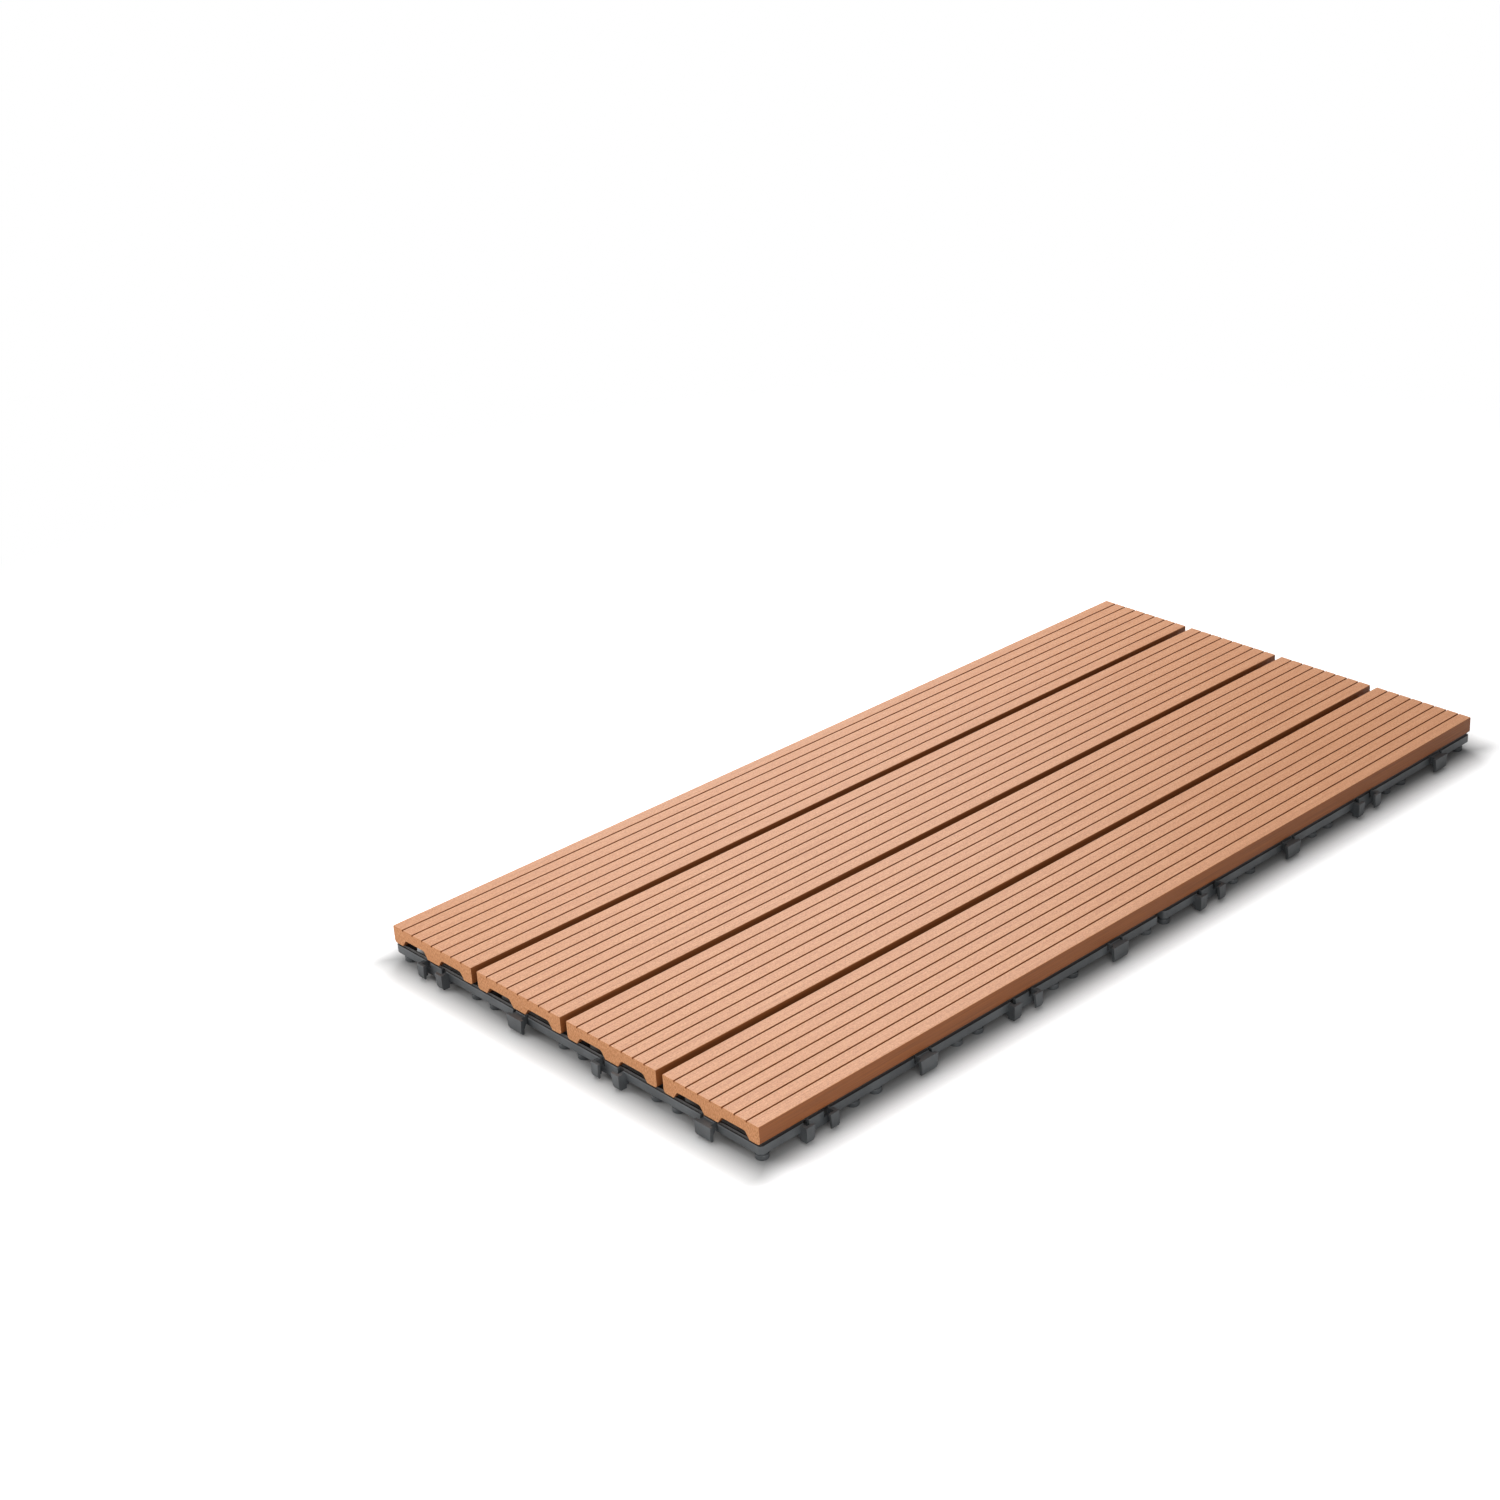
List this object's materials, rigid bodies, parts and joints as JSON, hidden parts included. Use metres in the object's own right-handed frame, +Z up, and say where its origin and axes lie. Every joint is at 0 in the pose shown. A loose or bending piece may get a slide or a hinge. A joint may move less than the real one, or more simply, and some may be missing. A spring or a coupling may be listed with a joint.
{
  "type": "interlocking_deck_tile",
  "caption": "Interlocking outdoor deck tile of grooved reddish-brown wood-plastic slats on clip-together grey plastic base grids.",
  "frame": {"origin": "on the ground under the centre of the tile", "axes": "+X along the slats, +Z up, right-handed"},
  "size_m": [0.604, 0.304, 0.022],
  "materials": {
    "composite_wood": "extruded wood-plastic composite, brushed, matt",
    "grid_plastic": "injection-moulded polypropylene, fine matt",
    "screw_steel": "zinc-plated steel"
  },
  "bodies": {
    "root": {"slat_1": "composite_wood", "slat_2": "composite_wood", "slat_3": "composite_wood", "slat_4": "composite_wood", "base_grid_left": "grid_plastic", "base_grid_right": "grid_plastic", "screws": "screw_steel"}
  },
  "joints": []
}
